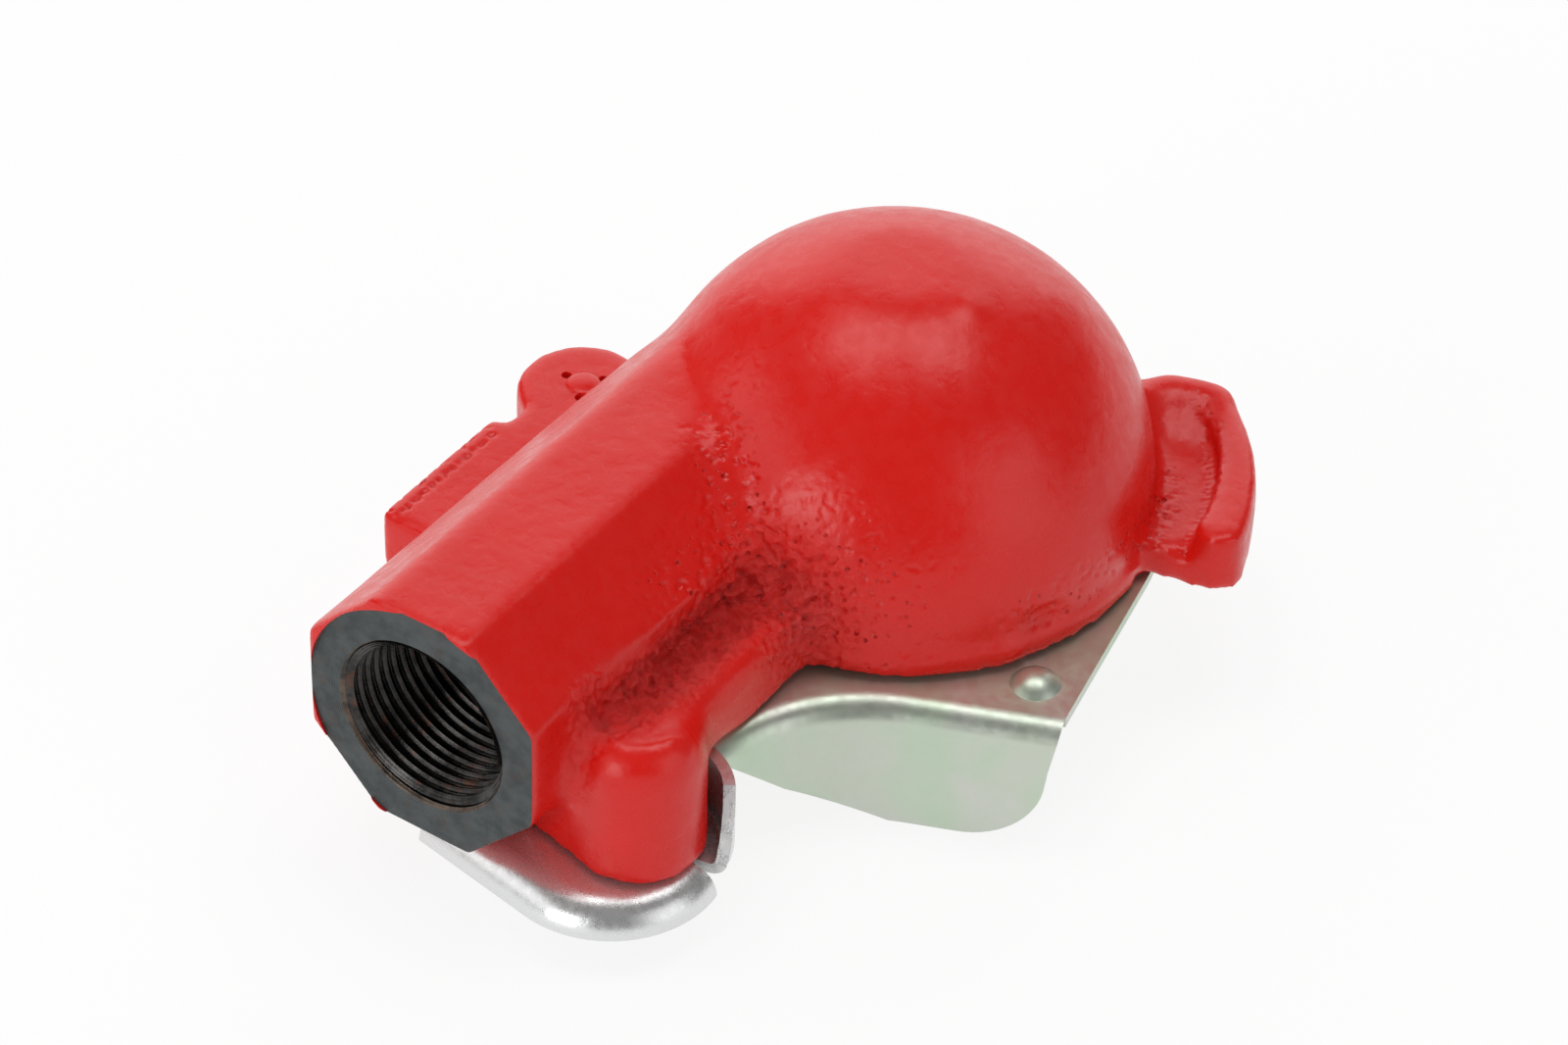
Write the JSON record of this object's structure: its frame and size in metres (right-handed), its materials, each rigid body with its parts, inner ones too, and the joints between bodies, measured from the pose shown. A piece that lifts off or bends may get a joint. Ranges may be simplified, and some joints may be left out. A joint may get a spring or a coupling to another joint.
{
  "type": "gladhand air brake coupler",
  "caption": "Cast palm coupling head for a trailer air line, with a domed air chamber, a threaded port in an eight-sided neck, a claw, a hook guide and a sprung swinging dust cover.",
  "frame": {"origin": "centre of the coupling face, on the dome's axis", "axes": "+Z from the coupling face to the top of the dome, -Y along the neck and out of the port"},
  "size_m": [0.0857, 0.1068, 0.0533],
  "materials": {
    "red_paint": "glossy paint over a sand casting",
    "seal_rubber": "matt",
    "zinc_sheet": "bright zinc plate",
    "plated_steel": "zinc plate",
    "spring_steel": "drawn wire",
    "bearing_steel": "polished"
  },
  "bodies": {
    "head": {"body": "red_paint", "seal_ring": "seal_rubber", "pivot_pin": "plated_steel", "cover_spring": "spring_steel", "spring_washer": "plated_steel", "detent_spring": "spring_steel", "detent_plug": "red_paint"},
    "cover": {"cover": "zinc_sheet"},
    "detent": {"detent_ball": "bearing_steel"}
  },
  "joints": [
    {"name": "cover_hinge", "type": "hinge", "parent": "head", "child": "cover", "pos_m": [0.0049, -0.0575, -0.0095], "axis": [0, 0, 1], "range_deg": [-105, 0], "stiffness_Nm_per_rad": 0.15, "springref_deg": 34.38, "deforming": ["cover_spring"]},
    {"name": "detent_slide", "type": "slide", "parent": "head", "child": "detent", "axis": [0, 0, 1], "range_m": [0, 0.00095], "stiffness_N_per_m": 400, "springref_m": -0.003, "deforming": ["detent_spring"]}
  ]
}
